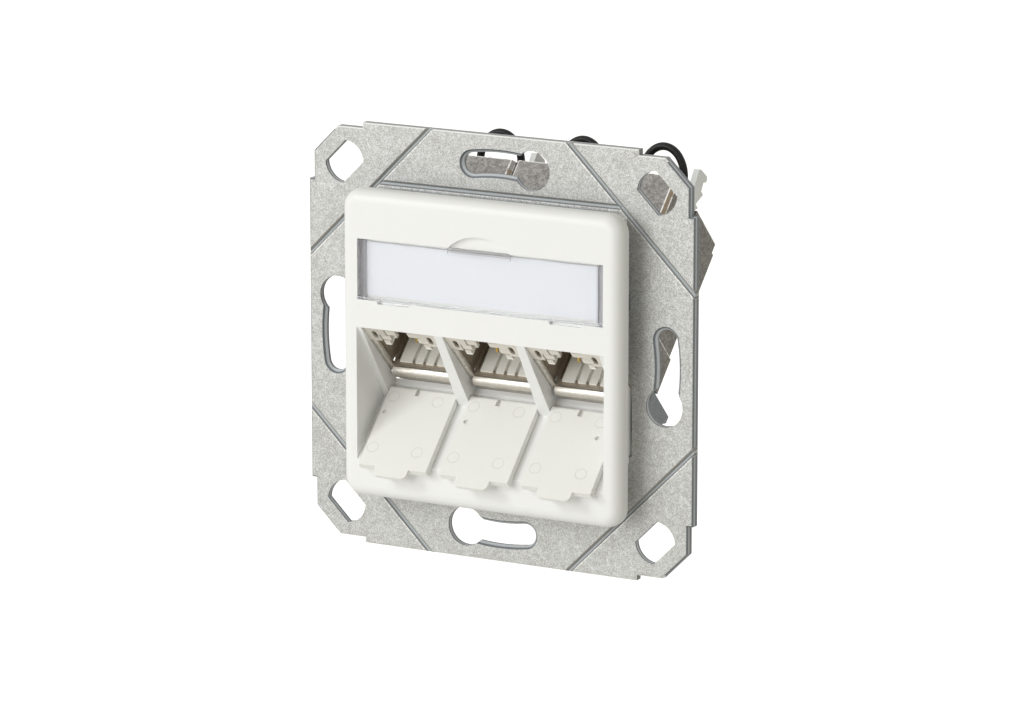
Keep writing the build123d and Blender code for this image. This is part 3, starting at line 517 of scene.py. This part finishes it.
def nickel_finish(name, dark, light, roughness):
    """Die-cast nickel of housing and cap: grainy coat, painted highlights along the edges, painted shade on
    the chamfers, brown inside, warmer on the face.

    In a jack's frame the long chamfers run along d between (|x|, w) = (7.3, -4.76) and (6.66, -5.4), so that
    |x| - w = 12.06 on them.
    """
    material, tree, shader, position = start_finish(name, light, roughness, 1.0)
    x, w, d = jack_place(tree, position)
    fold = math_node(tree, "ABSOLUTE", x)
    place = combine(tree, fold, w, d)
    mixed = crystals(tree, position, 1500.0, (0.2, 0.35, 0.45))
    colour = two_tones(tree, mixed, dark, light)

    # Brown inside of the mouth.
    inside = math_node(tree, "MULTIPLY", band(tree, fold, *INSIDE_X), band(tree, d, *INSIDE_D, 0.1))
    inside = math_node(tree, "MULTIPLY", inside, band(tree, w, *INSIDE_W, 0.05))
    colour = two_tones(tree, math_node(tree, "MULTIPLY", inside, 0.75), colour, (0.50, 0.43, 0.34))

    # Warm face, paler and duller in its upper corners.
    face = band(tree, d, *FACE_D, 0.05)
    colour = two_tones(tree, math_node(tree, "MULTIPLY", face, 0.7), colour, (0.74, 0.70, 0.63))
    corner = math_node(tree, "MULTIPLY", face, math_node(tree, "LESS_THAN", w, CORNER_W))
    colour = two_tones(tree, math_node(tree, "MULTIPLY", corner, 0.6), colour, (0.84, 0.80, 0.73))
    wire(tree, scale_range(tree, corner, 1.0, 0.4), shader.inputs["Metallic"])

    # Painted shade on the chamfers, and painted highlights along the edges, broken up by a speckle.
    chamfer_shade = band(tree, math_node(tree, "SUBTRACT", fold, w), *CHAMFER_SUM, 0.02)
    chamfer_shade = math_node(tree, "MULTIPLY", chamfer_shade, band(tree, d, *CHAMFER_D, 0.05))
    colour = two_tones(tree, math_node(tree, "MULTIPLY", chamfer_shade, 0.8), colour, (0.24, 0.18, 0.11))
    highlight_lines = [add_group(tree, EDGE_LINE, place, Point=point, Axis=axis, Radius=0.2)
             for point, axis in NICKEL_EDGES]
    breaks = add_group(tree, SPECKLE, position, Scale=900.0, Low=0.34, High=0.5).outputs["Mask"]
    edge_highlight = math_node(tree, "MULTIPLY", highest(tree, highlight_lines, "Mask"), breaks)
    wire(tree, two_tones(tree, edge_highlight, colour, (0.93, 0.91, 0.87)), shader.inputs["Base Color"])
    polish = scale_range(tree, math_node(tree, "MAXIMUM", mixed, edge_highlight), roughness + 0.1, roughness - 0.12)
    wire(tree, math_node(tree, "MULTIPLY_ADD", inside, 0.25, polish), shader.inputs["Roughness"])
    relief(tree, shader, mixed, 0.000012)
    return material


# %% Paper strip


def paper_finish(name, colour):
    """Label paper: fine fibres, slightly darker where the noise is low."""
    material, tree, shader, position = start_finish(name, colour, 0.75)
    fibre = put(tree, "TexNoise", Scale=2200.0, Detail=4.0, Roughness=0.7, Distortion=1.5)
    wire(tree, position, fibre.inputs["Vector"])
    wire(tree, two_tones(tree, fibre.outputs["Fac"], shade(colour, 0.97), colour), shader.inputs["Base Color"])
    wire(tree, scale_range(tree, fibre.outputs["Fac"], 0.68, 0.82), shader.inputs["Roughness"])
    relief(tree, shader, fibre.outputs["Fac"], 0.000006)
    return material


# %% Clear window


def clear_window(name):
    """Clear moulded lid: most light passes straight through; its end walls and nail ledge are painted grey and
    made opaque, as painted shade.
    """
    clear = (0.97, 0.975, 0.98)
    material, tree, shader, position = start_finish(name, clear, 0.05)
    shader.inputs["Transmission Weight"].default_value = 1.0
    shader.inputs["IOR"].default_value = 1.49
    x, _, z = split(tree, in_mm(tree, position))
    fold = math_node(tree, "ABSOLUTE", x)
    ends = scale_range(tree, fold, 0.0, 1.0, WINDOW_END - 0.05, WINDOW_END)
    ledge = math_node(tree, "MULTIPLY", band(tree, fold, -1.0, LEDGE_HALF),
                      band(tree, z, LEDGE_LOW, LEDGE_LOW + 1.0))
    # The grey of the end walls and of the ledge is painted shade.
    colour = two_tones(tree, ends, clear, (0.63, 0.62, 0.64))
    wire(tree, two_tones(tree, ledge, colour, (0.84, 0.83, 0.83)), shader.inputs["Base Color"])
    wire(tree, scale_range(tree, math_node(tree, "MAXIMUM", ends, ledge), 0.35, 1.0), shader.inputs["Alpha"])
    grain = add_group(tree, GRAIN, position, Fine=2500.0, Coarse=300.0)
    relief(tree, shader, grain.outputs["Height"], 0.0000005)
    return material


# %% Where the marks and edges are, in millimetres
ALONG_D, ALONG_X, ALONG_W = (0.0, 0.0, 1.0), (1.0, 0.0, 0.0), (0.0, 1.0, 0.0)
ALONG_Y = (0.0, 1.0, 0.0)

# Ring: its front plane, its grooves, where its outer walls begin, and where its back planes are.
RING_FRONT = -1.6
CORNER_GROOVE, LEVEL_GROOVE, LEVEL_HALF = 47.0, 25.14, 21.9
GROOVE_HALF, GROOVE_HIGHLIGHT = 0.5, (0.5, 0.58)
RIM_SIDE, RIM_ACROSS, TOP_WALL_Z = 33.5, 11.0, 33.0
WEB_BACK, RIM_BACK = 0.43, 0.03
RING_MARK_RADIUS = 2.1
RING_PIN_MARKS = [(21.65, 32.0), (31.9, 21.9), (29.6, 12.7)]

# Ring: painted light and shade of its cut walls, by y for the outer walls and by the distance below the
# groove's middle; the bright bands are painted highlights and the dark bands painted shade.
SIDE_WALL_SHADING = [(-1.6, (0.13, 0.15, 0.17)), (-1.34, (0.15, 0.17, 0.19)), (-1.22, (0.55, 0.58, 0.60)),
             (-0.85, (0.55, 0.58, 0.60)), (-0.7, (0.20, 0.22, 0.245)), (0.0, (0.22, 0.24, 0.265))]
TOP_WALL_SHADING = [(-1.6, (0.90, 0.90, 0.88)), (-1.36, (0.86, 0.86, 0.84)), (-1.24, (0.26, 0.27, 0.28)),
            (0.0, (0.32, 0.33, 0.34))]
GROOVE_WALL_SHADING = [(-0.5, (0.36, 0.345, 0.32)), (-0.14, (0.24, 0.23, 0.21)), (-0.05, (0.54, 0.575, 0.59)),
                (0.2, (0.52, 0.555, 0.575)), (0.3, (0.15, 0.16, 0.17)), (0.43, (0.17, 0.175, 0.18)),
                (0.5, (0.90, 0.90, 0.88))]

# Plate parts: the flaps' open face and pin marks, the window's end walls and ledge.
FLAP_FACE_W, FLAP_MARK_RADIUS = 7.45, 0.95
FLAP_PIN_MARKS = [(-4.8, -13.66), (3.3, -13.66), (-4.8, -4.01), (3.3, -4.01)]
WINDOW_END = 20.85
LEDGE_HALF, LEDGE_LOW = 5.6, 16.35

# Jacks: the inside of a mouth, its face and upper corners, the pegs, the chamfers and the edges with painted
# highlights.
INSIDE_X, INSIDE_D, INSIDE_W = (-1.0, 6.52), (0.35, 23.0), (-4.62, 12.9)
FACE_D, CORNER_W = (-1.5, 0.3), -2.4
PEG_W, PEG_D = -1.9, 1.2
CHAMFER_SUM, CHAMFER_D = (12.0, 12.12), (12.7, 33.0)
NICKEL_EDGES = [((7.3, -4.76, 20.0), ALONG_D), ((6.66, -5.4, 20.0), ALONG_D), ((7.1, 14.2, 34.0), ALONG_D),
                ((0.0, -5.4, 34.9), ALONG_X), ((0.0, 14.2, 34.9), ALONG_X), ((7.3, 0.0, 34.9), ALONG_W),
                ((7.3, 0.0, 12.6), ALONG_W), ((0.0, -6.45, 12.6), ALONG_X)]

# %% All the finishes
ring_zinc = zinc_finish("ring_zinc", (0.385, 0.38, 0.36), (0.67, 0.68, 0.675), 0.46)
rivet_zinc = coated_metal("rivet_zinc", (0.40, 0.40, 0.38), (0.60, 0.60, 0.58), 0.36, 1200.0)
carrier_steel = coated_metal("carrier_steel", (0.24, 0.26, 0.285), (0.34, 0.365, 0.39), 0.32, 900.0, 0.000004)
housing_nickel = nickel_finish("housing_nickel", (0.16, 0.15, 0.138), (0.44, 0.425, 0.40), 0.38)
spring_steel = coated_metal("spring_steel", (0.55, 0.55, 0.54), (0.66, 0.66, 0.65), 0.22, 2500.0, 0.000003)
contact_gold = coated_metal("contact_gold", (0.70, 0.46, 0.12), (0.86, 0.62, 0.20), 0.22, 3000.0, 0.000002)
plate_white = moulded("plate_white", (0.845, 0.85, 0.845), 0.42)
flap_white = flap_plastic("flap_white", (0.89, 0.892, 0.868), 0.40)
insert_ivory = moulded("insert_ivory", (0.96, 0.95, 0.90), 0.38)
warm_pegs(insert_ivory, (0.74, 0.71, 0.64))
terminal_grey = moulded("terminal_grey", (0.16, 0.165, 0.175), 0.45)
latch_grey = moulded("latch_grey", (0.93, 0.96, 0.97), 0.38)
strap_black = moulded("strap_black", (0.009, 0.0085, 0.009), 0.42, 0.00001)
strap_black.node_tree.nodes["Principled BSDF"].inputs["Specular IOR Level"].default_value = 0.25
label_paper = paper_finish("label_paper", (0.80, 0.82, 0.87))
board_green = moulded("board_green", (0.02, 0.12, 0.05), 0.30, 0.000004)
window_clear = clear_window("window_clear")

# %% Dress the CAD pieces
FINISH = {
    "support_ring": ring_zinc,
    "module_carrier": carrier_steel,
    "carrier_rivets": rivet_zinc,
    "cover_plate": plate_white,
    "label_window": window_clear,
    "label_strip": label_paper,
    "dust_flap": flap_white,
    "jack_housing": housing_nickel,
    "rear_cap": housing_nickel,
    "contact_insert": insert_ivory,
    "jack_contacts": contact_gold,
    "circuit_board": board_green,
    "terminal_block": terminal_grey,
    "wire_terminals": contact_gold,
    "wire_guide": terminal_grey,
    "strap_loop": strap_black,
    "latch_strip": latch_grey,
    "ground_spring": spring_steel,
}
for name, piece in nodes.items():
    base = name
    for side in SIDES:
        base = base.removesuffix("_" + side)
    piece.data.materials.clear()
    piece.data.materials.append(FINISH[base])
print("dressed:", len(nodes))

# %% [markdown]
# ## Smooth straps
# The CAD straps are flat-sided. Each is replaced by a round black loop of the same size and lean, which runs
# through the same eye on its cap.

# %% Smooth piece


def smooth_piece(name, points, faces):
    """New object at the origin, from points in metres and their faces, with smooth shading."""
    mesh = bpy.data.meshes.new(name)
    mesh.from_pydata(points, [], faces)
    mesh.shade_smooth()
    piece = bpy.data.objects.new(name, mesh)
    bpy.context.scene.collection.objects.link(piece)
    return piece


# %% Closed tube along an oval


def oval_tube(name, centre, side_axis, long_axis, half_width, half_height, radius, around=96, section=16):
    """Closed tube on c(t) = centre + side * a * cos(t) + long * b * sin(t).

    The section at t is radius * (outward * cos(s) + normal * sin(s)), where outward lies in the oval's plane
    across its tangent and normal is the plane's own. Both directions wrap, so the mesh is closed.
    """
    t = np.linspace(0, 2 * np.pi, around, endpoint=False)[:, None]
    s = np.linspace(0, 2 * np.pi, section, endpoint=False)[None, :]
    normal = np.cross(side_axis, long_axis)
    line = centre + half_width * np.cos(t) * side_axis + half_height * np.sin(t) * long_axis
    out = half_height * np.cos(t) * side_axis + half_width * np.sin(t) * long_axis
    out /= np.linalg.norm(out, axis=1, keepdims=True)
    section_ring = np.cos(s)[..., None] * out[:, None, :] + np.sin(s)[..., None] * normal
    points = line[:, None, :] + radius * section_ring
    index = np.arange(around * section).reshape(around, section)
    ahead, beside = np.roll(index, -1, axis=0), np.roll(index, -1, axis=1)
    faces = np.stack([index, ahead, np.roll(ahead, -1, axis=1), beside], axis=-1).reshape(-1, 4)
    return smooth_piece(name, points.reshape(-1, 3).tolist(), faces.tolist())


# %% The three straps
# Each strap's lean back from the jack's axis, in degrees, and its half height; lengths in millimetres.
STRAP_LEANS = {"left": (43.0, 4.85), "middle": (37.4, 4.87), "right": (39.0, 4.98)}
STRAP_HALF_WIDTH, STRAP_RADIUS = 3.78, 0.65
STRAP_FOOT_W, STRAP_FOOT_D = 5.75, 35.75
down_face = np.array([0.0, HALF_TURN, -HALF_TURN])
along_jack = np.array([0.0, HALF_TURN, HALF_TURN])
for number, side in enumerate(SIDES):
    lean, half_height = math.radians(STRAP_LEANS[side][0]), STRAP_LEANS[side][1]
    corner = np.array([(number - 1) * PITCH / MM, FACE_Y, FACE_Z])
    rise = -math.sin(lean) * down_face + math.cos(lean) * along_jack
    middle = corner + STRAP_FOOT_W * down_face + STRAP_FOOT_D * along_jack + half_height * rise
    strap = oval_tube("strap_smooth_" + side, middle * MM, np.array([1.0, 0.0, 0.0]), rise,
                      STRAP_HALF_WIDTH * MM, half_height * MM, STRAP_RADIUS * MM)
    strap.data.materials.append(strap_black)
    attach(strap, "outlet")
    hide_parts("strap_loop_" + side)

# %% [markdown]
# ## Side bars of the mouths
# The side walls of a mouth end in a rounded nickel bead, seen between the plastic and the dark inside. The
# solids have a flat edge there, so each bead is added as a bar with round ends.

# %% Bar with round ends


def round_bar(name, start, end, radius, around=16, steps=8):
    """Closed bar with a half ball on each end; its rows run from pole to pole.

    The row at angle a has the radius r(a) = radius * sin(a) and the centre start - axis * radius * cos(a), and
    past the middle of the bar the mirror image of that from end.
    """
    start, end = np.array(start, float), np.array(end, float)
    axis = (end - start) / np.linalg.norm(end - start)
    side = np.array([1.0, 0.0, 0.0])
    other = np.cross(axis, side)
    turn = np.linspace(0, 2 * np.pi, around, endpoint=False)
    circle = np.cos(turn)[:, None] * side + np.sin(turn)[:, None] * other
    points = [start - radius * axis]
    half = np.linspace(0, np.pi / 2, steps + 1)[1:]
    for angle in half:
        points += list(start - radius * math.cos(angle) * axis + radius * math.sin(angle) * circle)
    for angle in half[::-1]:
        points += list(end + radius * math.cos(angle) * axis + radius * math.sin(angle) * circle)
    points.append(end + radius * axis)
    rows, last = 2 * steps, 2 * steps * around + 1
    faces = [(0, 1 + (i + 1) % around, 1 + i) for i in range(around)]
    for row in range(rows - 1):
        low, high = 1 + row * around, 1 + (row + 1) * around
        faces += [(low + i, low + (i + 1) % around, high + (i + 1) % around, high + i)
                  for i in range(around)]
    top = 1 + (rows - 1) * around
    faces += [(last, top + i, top + (i + 1) % around) for i in range(around)]
    return smooth_piece(name, [tuple(p) for p in points], faces)


# %% Two bars for each mouth
BAR_X, BAR_D, BAR_RADIUS = 6.15, 0.5, 0.65
BAR_TOP_W, BAR_LOW_W = -2.5, 5.7
bar_nickel = coated_metal("bar_nickel", (0.40, 0.37, 0.33), (0.70, 0.67, 0.61), 0.30, 1500.0)
for number, side in enumerate(SIDES):
    corner = np.array([(number - 1) * PITCH / MM, FACE_Y, FACE_Z]) + BAR_D * along_jack
    for end_name, across in (("a", -BAR_X), ("b", BAR_X)):
        base = corner + np.array([across, 0.0, 0.0])
        bar = round_bar("mouth_bar_" + side + "_" + end_name, (base + BAR_TOP_W * down_face) * MM,
                        (base + BAR_LOW_W * down_face) * MM, BAR_RADIUS * MM)
        bar.data.materials.append(bar_nickel)
        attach(bar, "outlet")

# %% [markdown]
# ## Camera
# The picture is a perspective view from the right and a little above. The angle, distance and lens were
# solved from edges whose place on the object is known, so the camera is set once, by its rotation matrix.

# %% Camera
AZIMUTH, ELEVATION = math.radians(28.444), math.radians(12.809)
CAMERA_PLACE = (0.392681, -0.722010, 0.186405)
SENSOR_WIDTH = 36.0
FOCAL_PIXELS, PICTURE_PIXELS = 5320.65, 1024.0
right = np.array([math.cos(AZIMUTH), math.sin(AZIMUTH), 0.0])
back = np.array([math.sin(AZIMUTH) * math.cos(ELEVATION), -math.cos(AZIMUTH) * math.cos(ELEVATION),
                 math.sin(ELEVATION)])
up = np.cross(back, right)
camera_data = bpy.data.cameras.new("camera")
camera = bpy.data.objects.new("camera", camera_data)
bpy.context.scene.collection.objects.link(camera)
turn = Matrix([[right[i], up[i], back[i]] for i in range(3)])
camera.matrix_world = Matrix.Translation(CAMERA_PLACE) @ turn.to_4x4()
camera_data.sensor_width = SENSOR_WIDTH
camera_data.lens = FOCAL_PIXELS / PICTURE_PIXELS * SENSOR_WIDTH
camera_data.clip_start = 0.01
bpy.context.scene.camera = camera

# %% [markdown]
# ## Light and floor
# A big soft lamp at the upper left gives the wide shadow beside the plate, a second one nearer the front
# lights the open flaps, and the world is a plain warm room. The floor lies well below, so its shadow is faint.

# %% World
# The camera, and rays that are mirrored or pass through glass, see plain white; all others see the warm room.
ROOM_COLOUR, ROOM_STRENGTH = (1.0, 0.965, 0.85, 1.0), 0.44
world = bpy.data.worlds.new("room")
bpy.context.scene.world = world
world.use_nodes = True
sky = world.node_tree
sky.nodes.clear()
rays = sky.nodes.new("ShaderNodeLightPath")
seen = math_node(sky, "MAXIMUM", rays.outputs["Is Camera Ray"], rays.outputs["Is Transmission Ray"])
seen = math_node(sky, "MAXIMUM", seen, rays.outputs["Is Glossy Ray"])
room = put(sky, "Background", Strength=ROOM_STRENGTH)
room.inputs["Color"].default_value = ROOM_COLOUR
white = put(sky, "Background", Strength=1.0)
white.inputs["Color"].default_value = (1.0, 1.0, 1.0, 1.0)
blend_rays = sky.nodes.new("ShaderNodeMixShader")
wire(sky, seen, blend_rays.inputs[0])
wire(sky, room.outputs[0], blend_rays.inputs[1])
wire(sky, white.outputs[0], blend_rays.inputs[2])
sky_out = sky.nodes.new("ShaderNodeOutputWorld")
wire(sky, blend_rays.outputs[0], sky_out.inputs["Surface"])

# %% Lamps


def soft_lamp(name, place, target, size, power, colour=(1.0, 1.0, 1.0)):
    """Square area lamp at a place, facing a target."""
    data = bpy.data.lights.new(name, "AREA")
    data.size = size
    data.energy = power
    data.color = colour
    lamp = bpy.data.objects.new(name, data)
    bpy.context.scene.collection.objects.link(lamp)
    away = np.array(place, float) - np.array(target, float)
    away /= np.linalg.norm(away)
    side = np.cross((0.0, 0.0, 1.0), away)
    side /= np.linalg.norm(side)
    top = np.cross(away, side)
    axes = Matrix([[side[i], top[i], away[i]] for i in range(3)])
    lamp.matrix_world = Matrix.Translation(place) @ axes.to_4x4()
    return lamp


soft_lamp("key", (-0.62, -0.72, 0.55), (0, 0, 0), 0.35, 3.5, (0.97, 0.985, 1.0))
soft_lamp("front", (-0.25, -0.95, 0.20), (0, 0, 0), 0.45, 3.1)

# %% Floor
FLOOR_Z, FLOOR_REACH = -0.16, 4.0
FLOOR_GLOW = 0.7
floor_mesh = bpy.data.meshes.new("floor")
corners = [(x * FLOOR_REACH, y * FLOOR_REACH, FLOOR_Z) for x, y in ((-1, -1), (1, -1), (1, 1), (-1, 1))]
floor_mesh.from_pydata(corners, [], [(0, 1, 2, 3)])
floor = bpy.data.objects.new("floor", floor_mesh)
bpy.context.scene.collection.objects.link(floor)
floor_white, floor_tree, floor_shader, _ = start_finish("floor_white", (0.9, 0.9, 0.9), 0.8)
floor_rays = floor_tree.nodes.new("ShaderNodeLightPath")
shown = math_node(floor_tree, "MULTIPLY", floor_rays.outputs["Is Camera Ray"], FLOOR_GLOW)
floor_shader.inputs["Emission Color"].default_value = (1.0, 1.0, 1.0, 1.0)
wire(floor_tree, shown, floor_shader.inputs["Emission Strength"])
floor_mesh.materials.append(floor_white)

# %% [markdown]
# ## Colour view
# The picture uses the Standard view transform.

# %% Finish
bpy.context.scene.view_settings.view_transform = "Standard"
